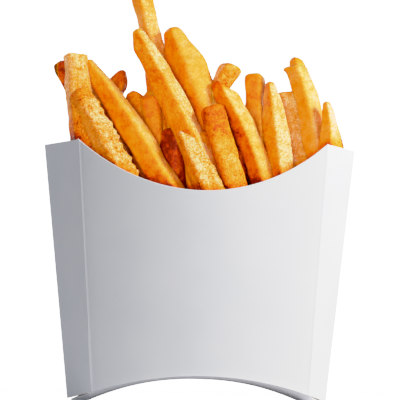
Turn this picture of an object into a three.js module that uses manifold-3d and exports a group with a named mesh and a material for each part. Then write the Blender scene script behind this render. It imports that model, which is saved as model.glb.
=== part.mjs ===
// French fries in a folded paperboard carton that stands on the ground.
// Millimetres, +Z up. The origin is on the ground under the middle of the carton, and the
// front panel faces -Y. The carton is alike at the front and the back.
import * as THREE from "three";
import { mergeVertices } from "three/addons/utils/BufferGeometryUtils.js";
import Module from "manifold-3d";

const wasm = await Module();
wasm.setup();
const { lerp, clamp, degToRad } = THREE.MathUtils;

// ---- Carton: driving sizes ----
const BOARD = 0.5; // thickness of the paperboard

// Half sizes of the section, [at the ground, at the tops of the folds]. The section has six
// corners: a seam at each side, and the four folds where the panels meet the side strips.
const SEAM_HALF = [52, 63];
const FOLD_HALF = [43, 50];
const FOLD_DEPTH = [19.5, 17];
const PANEL_BULGE = [5, 7]; // how far a panel's middle stands out beyond its folds

// Heights.
const FOLD_TOP = 103.6; // the ears' highest points
const SEAM_TOP = 102.5;
const SCOOP_LOW = 83.8; // middle of the round scoop in each panel's upper edge
const SCOOP_RADIUS = 72.2;
const FOLD_FOOT = 3.3;
const SEAM_FOOT = 0.8;
const ARCH_HIGH = 10.3; // middle of the crease along each panel's lower edge
const KEEL_HIGH = 9.2; // the bottom panel's middle line, which sags between the creases
const KEEL_POWER = 2.2;

// The bottom panel's two tips lie flat on the ground: they are the feet.
const FOOT_FROM = 44;
const FOOT_TO = 50.5;
const FOOT_FLAT = 0.45; // share of the panel's width that is flat across
const TIP_EDGE_LOW = 0.2; // the tips' free edges peel away from the strips above them

const PANEL_STEPS = 16;
const WALL_ROWS = 4;
const BOTTOM_STEPS = 12; // steps across the arch
const TIP_STEPS = 2; // steps along each foot
const BOTTOM_ROWS = 8;

// ---- Fries: driving sizes ----
const GAP = 0.35; // clearance between the fries and the board
const CORE_INSET = 1.4; // from the board's outer face
const CORE_FOOT = 12;
const CORE_TOP = 67; // the packed core's top in the middle, well below the scoop
const CORE_RISE = 14; // how much higher it is at the sides
const CORE_HALF = 45;
const CORE_MIDWAY = 0.5; // a ring of points on its top, as a share of the way out

const SIDES = 8; // a squared section with its corners cut off
const CORNER = 0.72; // where the cut starts, as a share of the half width
const RINGS = 5;
const CROWD = 1.7; // crowds the rings towards the tip, where the shape changes most
const TIP_LENGTH = 5; // the stretch over which a cut end rounds off
const TAPER_POWER = 2; // a tip narrows faster towards its end
const UNEVEN = 0.07;

// Every fry that stands out of the carton, from the front row to the back row. foot and tip are
// the ends of its middle line, bow is how far the middle swings towards +X, wide is the side of
// its squared section, and turn is the angle that the section is turned round the middle line.
// end is the tip's size against the rest, over the length taper, and slant tilts the cut. A tip
// with hug -1 narrows from its right side alone.
const FRONT_ROW = [
  { foot: [15.5, -18, 58], tip: [-8.4, -14.5, 107.3], wide: 8.4, turn: 22, end: 0.38, taper: 28, slant: -1 },
  { foot: [21, -17, 60], tip: [3, -10, 118.5], wide: 8.2, turn: 12, end: 0.85 },
  { foot: [28.9, -15, 60], tip: [7.2, -6, 127.1], bow: 4.8, wide: 6.9, turn: 36, end: 0.6, taper: 7, slant: -2.4 },
  { foot: [35.8, -15, 62], tip: [27.1, -6, 129.4], wide: 7.4, turn: 37, end: 0.3, taper: 24 },
  { foot: [-18.5, -17.5, 62], tip: [-50.2, -10, 123.6], bow: 0.9, wide: 8.6, turn: 30, end: 0.75, taper: 36 },
  { foot: [2.6, -18, 60], tip: [-44.5, -3.7, 137.6], bow: -1.4, wide: 8.7, turn: 55, end: 0.36, taper: 40, hug: -1 },
  { foot: [16, -12, 62], tip: [-27.2, -8, 149.2], bow: 0.8, wide: 8, turn: 42, end: 0.28, taper: 30 },
];
const MIDDLE_ROW = [
  { foot: [-42.2, -12, 64], tip: [-51.4, -4, 138.4], bow: -0.5, wide: 8, turn: 16, end: 0.97, slant: -0.6 },
  { foot: [45.8, -7, 64], tip: [38.3, 0, 136.6], bow: 4.8, wide: 7, turn: 40, end: 0.9 },
  { foot: [44.4, -5, 64], tip: [37.8, 0.5, 140.4], bow: 4.6, wide: 5, turn: 40, end: 0.62 },
  { foot: [54.4, -11, 66], tip: [50.2, -8, 121.8], bow: 1, wide: 9.2, turn: 42, end: 0.16, taper: 36 },
  { foot: [-17, -5, 61], tip: [12.6, -2, 136.4], bow: -3.5, wide: 6.7, turn: 20, end: 0.95 },
  { foot: [18.5, -6, 66], tip: [-12.7, 0, 151.2], bow: 1.4, wide: 10.4, turn: 34, end: 0.38, taper: 22 },
  { foot: [-14, -6, 64], tip: [-20, 0, 125.5], wide: 7.2, turn: 66, end: 0.85, slant: 2 },
  { foot: [-7, -4, 62], tip: [-10, 2, 116], wide: 7.8, turn: 60, end: 0.85 },
  { foot: [45, -5, 66], tip: [34.6, 3, 125.5], wide: 8.8, turn: 10, end: 0.95 },
  { foot: [-1, 0, 62], tip: [-26.6, 3, 123.5], wide: 6.2, turn: 50, end: 0.8, slant: -2 },
  { foot: [-15.2, -2, 64], tip: [-17.2, 4, 138], wide: 7.6, turn: 60, end: 0.8 },
  { foot: [0, -4, 66], tip: [-24.7, 4.3, 165], wide: 6.2, turn: 28, end: 0.97, slant: 1 },
];
const BACK_ROW = [
  { foot: [22.3, 0, 66], tip: [22.3, 6, 133.8], wide: 6.8, turn: 70, end: 0.85 },
  { foot: [-23, 6, 66], tip: [-56.6, 8, 137], wide: 6.2, turn: 60, end: 0.85 },
  { foot: [-37, 6, 68], tip: [-31.5, 8, 134.4], bow: -4, wide: 5.6, turn: 60, end: 0.4, taper: 9 },
  { foot: [-30, 9, 64], tip: [-46, 11, 129], wide: 7.4, turn: 20, end: 0.85 },
  { foot: [-22, 12, 62], tip: [-38, 15, 122], wide: 7.6, turn: -25, end: 0.8 },
  { foot: [-20, 14, 60], tip: [-26, 17, 116], wide: 7.2, turn: 30, end: 0.85 },
  { foot: [-6, 12, 62], tip: [-17, 11, 133], wide: 7.4, turn: -35, end: 0.7 },
  { foot: [3, 13, 60], tip: [-7, 10, 139], bow: 1.5, wide: 7.6, turn: 25, end: 0.75 },
  { foot: [5, 14, 60], tip: [4, 17, 126], wide: 7.4, turn: -20, end: 0.85 },
  { foot: [10, 12, 62], tip: [13, 11, 118], wide: 7, turn: 40, end: 0.8 },
  { foot: [26, 14, 60], tip: [22, 16, 117], wide: 7.6, turn: -30, end: 0.8 },
  { foot: [30, 11, 62], tip: [31, 13, 121], wide: 7.4, turn: 15, end: 0.85 },
  { foot: [36, 8, 64], tip: [41, 8, 125], bow: -1.5, wide: 7.2, turn: -40, end: 0.7 },
  { foot: [46, 5, 66], tip: [48.5, 7, 112], wide: 7, turn: 30, end: 0.8 },
];

// Shorter fries fill the carton between the rows. Their tops stay under FILL_TOP.
const FILL_SEED = 11;
const FILL_COUNT = 18;
const FILL_REACH = 45; // how far from the middle they stand
const FILL_LINES = [-10, 9, -1]; // how far back from the middle
const FILL_SHIFT = 3; // at most so much further back
const FILL_FOOT = 60;
const FILL_TOP = 112;
const FILL_DROP = 14;
const FILL_SIDE_DROP = 10; // lower still behind the ears
const FILL_LEAN = 9;
const FILL_BIAS = 3.6; // they lean to the left rather than to the right
const FILL_WIDE = [7, 8.6];
const FILL_END = 0.8;

// ---- Helpers ----

// A linear congruential stream: the same numbers from 0 to 1 for the same seed.
const STREAM_FACTOR = 1664525;
const STREAM_STEP = 1013904223;
const STREAM_SIZE = 2 ** 32;

function stream(seed) {
  let state = seed;
  return () => {
    state = (state * STREAM_FACTOR + STREAM_STEP) % STREAM_SIZE;
    return state / STREAM_SIZE;
  };
}

// Moves every vertex of a geometry to where the function puts it.
function reshape(geometry, move) {
  const place = geometry.attributes.position;
  const from = new THREE.Vector3();
  for (let k = 0; k < place.count; k++) {
    from.fromBufferAttribute(place, k);
    place.setXYZ(k, ...move(from, k));
  }
  return geometry;
}

const WELD = 1e-3; // vertices nearer than this are one

// A closed geometry as a solid: seams merged, and faces that have shrunk to nothing dropped.
function solidOf(geometry) {
  const bare = new THREE.BufferGeometry();
  bare.setAttribute("position", geometry.attributes.position);
  bare.setIndex(geometry.index);
  const merged = mergeVertices(bare, WELD);
  const corners = merged.index.array;
  const kept = [];
  for (let k = 0; k < corners.length; k += 3) {
    const [a, b, c] = corners.slice(k, k + 3);
    if (a !== b && b !== c && c !== a) kept.push(a, b, c);
  }
  return new wasm.Manifold(
    new wasm.Mesh({
      numProp: 3,
      vertProperties: merged.attributes.position.array,
      triVerts: new Uint32Array(kept),
    }),
  );
}

function meshOf(solid, name, material) {
  const { vertProperties, triVerts } = solid.getMesh();
  const geometry = new THREE.BufferGeometry();
  geometry.setAttribute("position", new THREE.BufferAttribute(vertProperties, 3));
  geometry.setIndex(new THREE.BufferAttribute(triVerts, 1));
  geometry.computeVertexNormals();
  const mesh = new THREE.Mesh(geometry, material);
  mesh.name = name;
  return mesh;
}

// The outer skin of the largest body: what fusing seals off inside it is filled.
function largestBody(solid) {
  return solid.decompose().reduce((a, b) => (b.volume() > a.volume() ? b : a));
}

// ---- Carton ----

// The section at a height, shrunk by inset all round.
function sectionAt(z, inset) {
  const share = z / FOLD_TOP;
  const seam = lerp(...SEAM_HALF, share);
  const fold = lerp(...FOLD_HALF, share);
  const depth = lerp(...FOLD_DEPTH, share);
  const strip = Math.hypot(seam - fold, depth);
  const sine = depth / strip;
  const cosine = (seam - fold) / strip;
  return {
    seam: seam - inset / sine,
    fold: seam - (inset + (depth - inset) * cosine) / sine,
    depth: depth - inset,
    bulge: lerp(...PANEL_BULGE, share),
  };
}

// Half the section's depth at a distance from the middle.
function halfDepth(x, { seam, fold, depth, bulge }) {
  const out = Math.abs(x);
  if (out <= fold) return depth + bulge * (1 - (out / fold) ** 2);
  return Math.max(0, (depth * (seam - out)) / (seam - fold));
}

// The stations round the wall, counter-clockwise from above: front panel, seam, back panel, seam.
function wallStations() {
  const across = [...Array(PANEL_STEPS + 1).keys()].map((k) => (2 * k) / PANEL_STEPS - 1);
  const front = across.map((share) => ({ face: -1, share }));
  const back = across.map((share) => ({ face: 1, share: -share }));
  return [...front, { seam: 1 }, ...back, { seam: -1 }, front[0]];
}

function wallPoint(station, z, inset) {
  const section = sectionAt(z, inset);
  if (station.seam) return [station.seam * section.seam, 0, z];
  const x = station.share * section.fold;
  return [x, station.face * halfDepth(x, section), z];
}

function wallFoot({ seam, share }) {
  return seam ? SEAM_FOOT : lerp(FOLD_FOOT, ARCH_HIGH, 1 - share ** 2);
}

function wallRim({ seam, share }) {
  if (seam) return SEAM_TOP;
  const x = share * FOLD_HALF[1];
  return SCOOP_LOW + SCOOP_RADIUS - Math.sqrt(SCOOP_RADIUS ** 2 - x ** 2);
}

const RING_RADIUS = 2; // any radius will do, as the ring's points are set on the stations

// The panels and strips: a ring turned from a tall thin outline, then set on its stations.
function wallSolid() {
  const stations = wallStations();
  const up = [...Array(WALL_ROWS + 1).keys()].map((k) => k / WALL_ROWS);
  const outside = up.map((share) => [share, 0]);
  const inside = up.map((share) => [1 - share, BOARD]);
  const outline = [...outside, ...inside, outside[0]];
  const profile = outline.map(([share, inset]) => new THREE.Vector2(RING_RADIUS - inset, share));
  const ring = new THREE.LatheGeometry(profile, stations.length - 1);
  reshape(ring, (from, k) => {
    const station = stations[Math.floor(k / outline.length)];
    const [share, inset] = outline[k % outline.length];
    return wallPoint(station, lerp(wallFoot(station), wallRim(station), share), inset);
  });
  return solidOf(ring);
}

// The bottom panel's underside: it hangs between the two creases, and is flat at the feet.
function bottomHeight(x, reach) {
  const out = Math.abs(x);
  const foldX = FOLD_HALF[0];
  const keel = KEEL_HIGH * Math.max(0, 1 - (out / FOOT_FROM) ** KEEL_POWER);
  const crease = lerp(ARCH_HIGH, FOLD_FOOT, (out / foldX) ** 2);
  const peel = (out - foldX) / (FOOT_TO - foldX);
  const edge = out <= foldX ? crease : lerp(FOLD_FOOT, TIP_EDGE_LOW, peel);
  const rise = Math.max(0, (Math.abs(reach) - FOOT_FLAT) / (1 - FOOT_FLAT));
  return lerp(keel, edge, rise ** 2);
}

function bottomSolid() {
  const steps = BOTTOM_STEPS + 2 * TIP_STEPS;
  const archShare = BOTTOM_STEPS / steps;
  const ground = sectionAt(0, BOARD / 2);
  const slab = new THREE.BoxGeometry(2, 2, 1, steps, BOTTOM_ROWS, 1);
  reshape(slab, (from) => {
    const out = Math.abs(from.x);
    const alongTip = (out - archShare) / (1 - archShare);
    const x = out <= archShare ? (out / archShare) * FOOT_FROM : lerp(FOOT_FROM, FOOT_TO, alongTip);
    const upper = from.z > 0 ? BOARD : 0;
    const y = from.y * halfDepth(x, ground);
    return [Math.sign(from.x) * x, y, bottomHeight(x, from.y) + upper];
  });
  return solidOf(slab);
}

// ---- Fries ----

// Keeps a point clear of the board, and of the board's plane above the rim.
function kept(x, y, z) {
  const section = sectionAt(Math.min(z, FOLD_TOP), BOARD + GAP);
  const across = clamp(x, -section.seam, section.seam);
  const reach = halfDepth(across, section);
  return [across, clamp(y, -reach, reach), z];
}

// The packed fries low in the carton, as one body with a hollowed top.
function coreSolid() {
  const stations = wallStations();
  const side = [...Array(WALL_ROWS + 1).keys()].map((k) => [1, k / WALL_ROWS]);
  const outline = [[0, 0], ...side, [CORE_MIDWAY, 1], [0, 1]];
  const profile = outline.map(([out, up]) => new THREE.Vector2(out, up));
  const drum = new THREE.LatheGeometry(profile, stations.length - 1);
  reshape(drum, (from, k) => {
    const station = stations[Math.floor(k / outline.length)];
    const [out, up] = outline[k % outline.length];
    const rough = wallPoint(station, CORE_TOP, CORE_INSET);
    const top = CORE_TOP + CORE_RISE * ((out * rough[0]) / CORE_HALF) ** 2;
    const z = lerp(CORE_FOOT, top, up);
    const [x, y] = wallPoint(station, z, CORE_INSET);
    return [out * x, out * y, z];
  });
  return solidOf(drum);
}

// One fry: a squared bar along its bowed middle line, with its tip cut or drawn to a point.
function frySolid(spec, random) {
  const { bow = 0, slant = 0, taper = TIP_LENGTH, hug = 0, end, wide, turn } = spec;
  const foot = new THREE.Vector3(...spec.foot);
  const tip = new THREE.Vector3(...spec.tip);
  const along = tip.clone().sub(foot);
  const length = along.length();
  along.normalize();
  const right = new THREE.Vector3(1, 0, 0).addScaledVector(along, -along.x).normalize();
  const back = along.clone().cross(right);
  const cosine = Math.cos(degToRad(turn));
  const sine = Math.sin(degToRad(turn));
  const uneven = [...Array(RINGS + 1)].map(() => 1 + UNEVEN * (2 * random() - 1));
  const flat = Math.cos(Math.PI / SIDES);
  const side = CORNER / Math.tan(Math.PI / SIDES);
  const bar = new THREE.CylinderGeometry(1, 1, 1, SIDES, RINGS, false, Math.PI / SIDES);
  reshape(bar, (from) => {
    const ring = Math.round((from.y + 0.5) * RINGS);
    const share = 1 - (1 - ring / RINGS) ** CROWD;
    const tipward = clamp(1 - ((1 - share) * length) / taper, 0, 1);
    const narrow = lerp(1, end, tipward ** TAPER_POWER);
    const half = (wide / 2) * uneven[ring] * narrow;
    const p = clamp((from.x / flat) * side, -1, 1) * half;
    const q = clamp((-from.z / flat) * side, -1, 1) * half;
    const cut = ring === RINGS ? (slant * p) / half : 0;
    const aside = 4 * share * (1 - share) * bow + (hug * wide * (1 - narrow)) / 2;
    const middle = foot
      .clone()
      .addScaledVector(along, share * length + cut)
      .addScaledVector(right, aside + p * cosine - q * sine)
      .addScaledVector(back, p * sine + q * cosine);
    return kept(middle.x, middle.y, middle.z);
  });
  return solidOf(bar);
}

// The shorter fries between the rows, spread evenly and leaning every way.
function fillSpecs(random) {
  return [...Array(FILL_COUNT).keys()].map((k) => {
    const x = lerp(-FILL_REACH, FILL_REACH, (k + random()) / FILL_COUNT);
    const reach = halfDepth(x, sectionAt(CORE_TOP, BOARD + GAP)) / FOLD_DEPTH[0];
    const line = FILL_LINES[k % FILL_LINES.length] + FILL_SHIFT * random();
    const y = line * Math.min(1, reach);
    const lean = FILL_LEAN * (2 * random() - 1) - FILL_BIAS;
    const low = FILL_DROP * random() + FILL_SIDE_DROP * (x / FILL_REACH) ** 4;
    return {
      foot: [x - lean, y, FILL_FOOT],
      tip: [x + lean, y + FILL_SHIFT * random(), FILL_TOP - low],
      wide: lerp(...FILL_WIDE, random()),
      turn: 90 * random(),
      end: FILL_END,
    };
  });
}

function friesSolid() {
  const random = stream(FILL_SEED);
  const specs = [...FRONT_ROW, ...MIDDLE_ROW, ...BACK_ROW, ...fillSpecs(random)];
  const bars = specs.map((spec) => frySolid(spec, random));
  return largestBody(wasm.Manifold.union([coreSolid(), ...bars]));
}

// ---- The object ----
const paperboard = new THREE.MeshStandardMaterial({ color: 0xf4f4f5, roughness: 0.6, metalness: 0 });
const potato = new THREE.MeshStandardMaterial({ color: 0xe2952a, roughness: 0.5, metalness: 0 });

const object = new THREE.Group();
object.add(meshOf(wallSolid().add(bottomSolid()), "carton", paperboard));
object.add(meshOf(friesSolid(), "fries", potato));

export default object;
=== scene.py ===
# %% [markdown]
# # French fries in a paperboard carton
# The real thing is a folded carton of thin white board, filled with fried potato sticks. The
# carton decides the shape from below, and the sticks give it a ragged crown. This lesson
# builds both round a finished frame: the frame already has the right sizes and places, and
# what is made here brings the fine shape and the finish.

# %% Load the frame
import math
from itertools import count

import bmesh
import bpy
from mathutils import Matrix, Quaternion, Vector, noise
from mathutils.bvhtree import BVHTree


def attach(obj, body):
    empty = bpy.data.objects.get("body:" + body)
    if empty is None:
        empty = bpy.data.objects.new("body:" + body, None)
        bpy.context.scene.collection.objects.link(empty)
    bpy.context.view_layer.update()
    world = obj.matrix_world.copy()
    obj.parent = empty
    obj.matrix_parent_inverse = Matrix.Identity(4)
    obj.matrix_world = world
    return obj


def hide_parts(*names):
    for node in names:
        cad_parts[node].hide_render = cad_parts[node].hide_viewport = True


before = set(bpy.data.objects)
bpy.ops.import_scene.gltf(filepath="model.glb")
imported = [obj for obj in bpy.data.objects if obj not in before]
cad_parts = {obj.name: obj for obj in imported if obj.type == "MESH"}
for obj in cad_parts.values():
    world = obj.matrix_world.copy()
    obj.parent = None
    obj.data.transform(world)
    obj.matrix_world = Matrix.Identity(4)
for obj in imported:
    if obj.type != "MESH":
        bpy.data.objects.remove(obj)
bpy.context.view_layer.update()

# %% [markdown]
# ## Units
# Blender works in metres. Board and potato are easier to think of in millimetres, so every
# piece is shaped in millimetres and scaled once, at the end, by this factor.

# %% Units
MM = 0.001

# %% [markdown]
# ## Camera
# The camera comes first, because every later choice is judged through it. A long lens from
# more than a metre away keeps the carton's sides nearly parallel. It stands a little to the
# left, just above the table, and looks up slightly, so the bottom's arch shows as an arch.
# A track quaternion points it at its target, and a turn about its own axis gives the roll.

# %% Camera
TARGET = Vector((0.2, 0, 81.4)) * MM
CAMERA_DISTANCE = 1.2
AZIMUTH = math.radians(-4.2)
ELEVATION = math.radians(-3.6)
ROLL = math.radians(0.85)
SENSOR = 36
LENS = 267.3


def toward(azimuth, elevation):
    """The direction from the object to something seen at this azimuth and elevation."""
    level = math.cos(elevation)
    return Vector((math.sin(azimuth) * level, -math.cos(azimuth) * level, math.sin(elevation)))


def place_looking(thing, away, distance, target, roll=0.0):
    """Sets a camera or lamp at a distance from its target, and points it there."""
    thing.rotation_mode = "QUATERNION"
    thing.location = target + away * distance
    facing = (-away).to_track_quat("-Z", "Y")
    thing.rotation_quaternion = facing @ Quaternion((0, 0, 1), roll)


camera = bpy.data.objects.new("camera", bpy.data.cameras.new("camera"))
camera.data.sensor_width = SENSOR
camera.data.lens = LENS
bpy.context.scene.collection.objects.link(camera)
bpy.context.scene.camera = camera
place_looking(camera, toward(AZIMUTH, ELEVATION), CAMERA_DISTANCE, TARGET, ROLL)
print("camera at", [round(value, 4) for value in camera.location])

# %% [markdown]
# ## Light
# A studio picture of food has one soft lamp, a bright room, and a few cards that mend its
# shadows, which come last in this lesson. The lamp is near, on the right and a little in
# front, so it lights the right side of the carton more than the left, and its shadows have
# soft edges. The camera sees the room white, while the light that it gives is much weaker.

# %% Light
KEY_PLACE = Vector((0.43, -0.18, 0.31))
KEY_SIZE = 0.16
KEY_POWER = 3.15
KEY_COLOUR = (1.0, 0.985, 0.955)
ROOM_LIGHT = 0.26
ROOM_COLOUR = (0.955, 0.985, 1.05)
ROOM_SEEN = 2.2


def add_lamp(name, place, size, power, colour):
    """A round, flat lamp that faces the middle of the object."""
    data = bpy.data.lights.new(name, "AREA")
    data.shape = "DISK"
    data.size = size
    data.energy = power
    data.color = colour
    lamp = bpy.data.objects.new(name, data)
    bpy.context.scene.collection.objects.link(lamp)
    away = place - TARGET
    place_looking(lamp, away.normalized(), away.length, TARGET)
    return lamp


def light_room():
    """A world that looks white and lights softly."""
    world = bpy.data.worlds.new("room")
    world.use_nodes = True
    tree = world.node_tree
    tree.nodes.clear()
    ray = tree.nodes.new("ShaderNodeLightPath")
    mix = tree.nodes.new("ShaderNodeMixShader")
    out = tree.nodes.new("ShaderNodeOutputWorld")
    tree.links.new(ray.outputs["Is Camera Ray"], mix.inputs["Fac"])
    tree.links.new(mix.outputs[0], out.inputs["Surface"])
    # The first background is the light that the room gives, and the second is its look.
    rooms = [(ROOM_COLOUR, ROOM_LIGHT), ((1, 1, 1), ROOM_SEEN)]
    for entry, (tint, strength) in zip(mix.inputs[1:], rooms):
        room = tree.nodes.new("ShaderNodeBackground")
        room.inputs["Color"].default_value = (*tint, 1)
        room.inputs["Strength"].default_value = strength
        tree.links.new(room.outputs[0], entry)
    bpy.context.scene.world = world


add_lamp("key", KEY_PLACE, KEY_SIZE, KEY_POWER, KEY_COLOUR)
light_room()
print("key lamp", KEY_POWER, "W, room light", ROOM_LIGHT)

# %% [markdown]
# ## Film
# A camera doesn't cut bright light off at pure white, it bends it over. The Standard view has
# no such bend, so one is added as a curve. Its points are pairs of the light that comes in
# and the light that is shown. Dark and middle tones pass unchanged, apart from a small black
# point that keeps dark colours rich, and twice the light of white becomes pure white.

# %% Film
FILM_BLACK = 0.006
FILM_WHITE = 2.0
COMBINED = 3
FILM_BEND = [(0.3, 0.3), (0.6, 0.6), (0.8, 0.75), (1.0, 0.82), (1.4, 0.88), (1.7, 0.965)]


def load_film():
    """Sets the view's colours, with the bend in its combined curve."""
    view = bpy.context.scene.view_settings
    view.view_transform = "Standard"
    view.use_curve_mapping = True
    film = view.curve_mapping
    film.black_level = [FILM_BLACK] * 3
    film.white_level = [FILM_WHITE] * 3
    for light, shown in FILM_BEND:
        film.curves[COMBINED].points.new(light / FILM_WHITE, shown)
    film.update()


load_film()
print("film bends from", FILM_BEND[1], "to", (FILM_WHITE, 1.0))

# %% [markdown]
# ## Shader sums
# A material is easier to read as a formula than as a wall of nodes. One small class wraps a
# socket, so that `mask * 0.5 + 0.2` adds the Math nodes by itself. Colours come from ramps and
# never take part in sums, because a Math node would turn a colour grey.


# %% Shader sums
class Wire:
    """A socket that takes part in sums. Every operator adds one Math node."""

    def __init__(self, tree, socket):
        self.tree = tree
        self.socket = socket

    def math(self, operation, *others, swap=False):
        node = self.tree.nodes.new("ShaderNodeMath")
        node.operation = operation
        values = [self, *others]
        if swap:
            values.reverse()
        for entry, value in zip(node.inputs, values):
            join(self.tree, entry, value)
        return Wire(self.tree, node.outputs[0])

    def __add__(self, other):
        return self.math("ADD", other)

    def __sub__(self, other):
        return self.math("SUBTRACT", other)

    def __rsub__(self, other):
        return self.math("SUBTRACT", other, swap=True)

    def __mul__(self, other):
        return self.math("MULTIPLY", other)

    __radd__ = __add__
    __rmul__ = __mul__


def join(tree, entry, value):
    """Links a wire to a socket, or sets a plain value on it."""
    if isinstance(value, Wire):
        tree.links.new(value.socket, entry)
    else:
        entry.default_value = value


class Finish:
    """A material in the making: its Principled shader, and one method for any other node."""

    def __init__(self, name):
        self.material = bpy.data.materials.new(name)
        self.material.use_nodes = True
        self.tree = self.material.node_tree
        self.shader = self.tree.nodes["Principled BSDF"]

    def node(self, kind, settings=None, output=0, **inputs):
        """Adds a node, then its settings, then the values or links of its sockets."""
        made = self.tree.nodes.new("ShaderNode" + kind)
        for name, value in (settings or {}).items():
            setattr(made, name, value)
        for name, value in inputs.items():
            join(self.tree, made.inputs[name.replace("_", " ")], value)
        return Wire(self.tree, made.outputs[output])

    def ramp(self, value, stops):
        """A colour for every value, from stops of (place, colour)."""
        made = self.tree.nodes.new("ShaderNodeValToRGB")
        bands = made.color_ramp.elements
        while len(bands) < len(stops):
            bands.new(1.0)
        for band, (place, colour) in zip(bands, stops):
            band.position = place
            band.color = colour
        join(self.tree, made.inputs["Fac"], value)
        return Wire(self.tree, made.outputs["Color"])

    def set(self, **inputs):
        """Sets or links sockets of the Principled shader."""
        for name, value in inputs.items():
            join(self.tree, self.shader.inputs[name.replace("_", " ")], value)


def colour(red, green, blue):
    """A colour given on a 0 to 255 scale, as the linear colour that Blender wants."""
    linear = [
        value / 255 / 12.92 if value < 11 else ((value / 255 + 0.055) / 1.055) ** 2.4
        for value in (red, green, blue)
    ]
    return (*linear, 1.0)


print("white board in linear light:", [round(value, 3) for value in colour(244, 244, 245)])

# %% [markdown]
# ## Floor
# The object stands on a plain white table, and a table that looks pure white would throw far
# too much light up at the carton. So the stage has two sheets. The camera sees only the upper
# one, which glows white, takes a faint shadow and lights nothing. The lower one can't be
# seen: it is greyer, and it gives the bounce, which is bright in front of the carton and dim
# in its shade. A trace of glow there keeps the underside from going black.

# %% Floor
FLOOR_HALF = 8.0
TABLE_SHADE = (240, 240, 240)
TABLE_GLOW = 1.7
BOUNCE_SHADE = (208, 208, 212)
BOUNCE_GLOW = 0.04
BOUNCE_DROP = 0.5
SPECKLE = 8


def white_table(name, shade, glow):
    """A matt table finish, with a faint speckle and some light of its own."""
    finish = Finish(name)
    speckle = finish.node("TexNoise", Scale=40.0, Detail=3.0)
    paler = [value + SPECKLE for value in shade]
    finish.set(Base_Color=finish.ramp(speckle, [(0, colour(*shade)), (1, colour(*paler))]))
    finish.set(Roughness=0.9, Emission_Color=(1, 1, 1, 1), Emission_Strength=glow)
    # The glow is only there to be seen. It isn't one of the lamps.
    finish.material.cycles.emission_sampling = "NONE"
    return finish.material


def add_piece(name, bm, materials):
    """Turns a bmesh in millimetres into an object in metres, with its place in its mesh."""
    bmesh.ops.scale(bm, vec=(MM, MM, MM), verts=bm.verts)
    mesh = bpy.data.meshes.new(name)
    bm.to_mesh(mesh)
    bm.free()
    for material in materials:
        mesh.materials.append(material)
    piece = bpy.data.objects.new(name, mesh)
    bpy.context.scene.collection.objects.link(piece)
    return piece


def add_sheet(name, height, material):
    """A square of floor at a height in millimetres."""
    bm = bmesh.new()
    bmesh.ops.create_grid(bm, x_segments=1, y_segments=1, size=FLOOR_HALF / MM)
    bmesh.ops.translate(bm, vec=(0, 0, height), verts=bm.verts)
    sheet = add_piece(name, bm, [material])
    return sheet


table = add_sheet("table", 0, white_table("table", TABLE_SHADE, TABLE_GLOW))
table.visible_diffuse = False
table.visible_glossy = False
table.visible_shadow = False
bounce = add_sheet("bounce", -BOUNCE_DROP, white_table("bounce", BOUNCE_SHADE, BOUNCE_GLOW))
bounce.visible_camera = False
print("table", table.dimensions[0], "m wide")

# %% [markdown]
# ## Carton sizes
# The carton is a flattened tube with six corners: a seam at each side, and four folds where
# the broad panels meet the narrow side strips. It is wider at the top than at the bottom,
# and both panels bow outwards. A few sizes at the ground and at the ears give every section
# in between, so they are written once and read by all the functions below.

# %% Carton sizes
BOARD = 0.5
SEAM_HALF = (52, 63)
FOLD_HALF = (43, 50)
FOLD_DEPTH = (19.5, 17)
PANEL_BULGE = (5, 7)
FOLD_TOP = 103.6
SEAM_TOP = 102.5
SCOOP_LOW = 83.8
SCOOP_RADIUS = 72.2
FOLD_FOOT = 3.3
SEAM_FOOT = 0.8
ARCH_HIGH = 10.3
KEEL_HIGH = 9.2
KEEL_POWER = 2.2
FOOT_FROM = 44
FOOT_TO = 50.5
FOOT_FLAT = 0.45
TIP_EDGE_LOW = 0.2


def lerp(pair, share):
    """The value between the two of a pair."""
    return pair[0] + (pair[1] - pair[0]) * share


def clamp(value, low, high):
    """The value, kept from low to high."""
    return max(low, min(high, value))


def section_at(z, inset):
    """Half sizes of the tube's section at a height, shrunk by inset all round."""
    share = z / FOLD_TOP
    seam = lerp(SEAM_HALF, share)
    fold = lerp(FOLD_HALF, share)
    depth = lerp(FOLD_DEPTH, share)
    strip = math.hypot(seam - fold, depth)
    sine = depth / strip
    cosine = (seam - fold) / strip
    return {
        "seam": seam - inset / sine,
        "fold": seam - (inset + (depth - inset) * cosine) / sine,
        "depth": depth - inset,
        "bulge": lerp(PANEL_BULGE, share),
    }


def half_depth(x, section):
    """Half the section's depth at a distance from the middle."""
    out = abs(x)
    if out <= section["fold"]:
        return section["depth"] + section["bulge"] * (1 - (out / section["fold"]) ** 2)
    strip = section["seam"] - section["fold"]
    return max(0.0, section["depth"] * (section["seam"] - out) / strip)


def bell(distance, half):
    """1 in the middle, fading to nothing on both sides."""
    return math.exp(-((distance / half) ** 2))


print("width at the ears", 2 * SEAM_HALF[1], "mm, and at the ground", 2 * SEAM_HALF[0], "mm")

# %% [markdown]
# ## Stations round the wall
# The board is creased with a blunt rule before it is folded, which leaves a low bead along
# each fold with a shallow groove beside it, on the panel, and a small lip along the arch.
# They are narrower than the steps that the broad panels need, so the stations round the
# wall are not even: they crowd near the folds. Each station is a place on a panel, as a
# share of its half width, or on a strip, as a share of the way to the seam.

# %% Stations round the wall
PANEL_STEPS = 28
FOLD_STEPS = (0.25, 0.5, 0.75, 1.0, 1.3, 1.8)
BEAD_HIGH = 0.05
BEAD_HALF = 0.26
GROOVE_DEEP = 0.05
GROOVE_HALF = 0.36
GROOVE_AWAY = 0.95
LIP_OUT = 0.22
LIP_HALF = 0.35
STRIP_SHARES = (0.3, 0.6, 0.85, 0.96)


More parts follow.
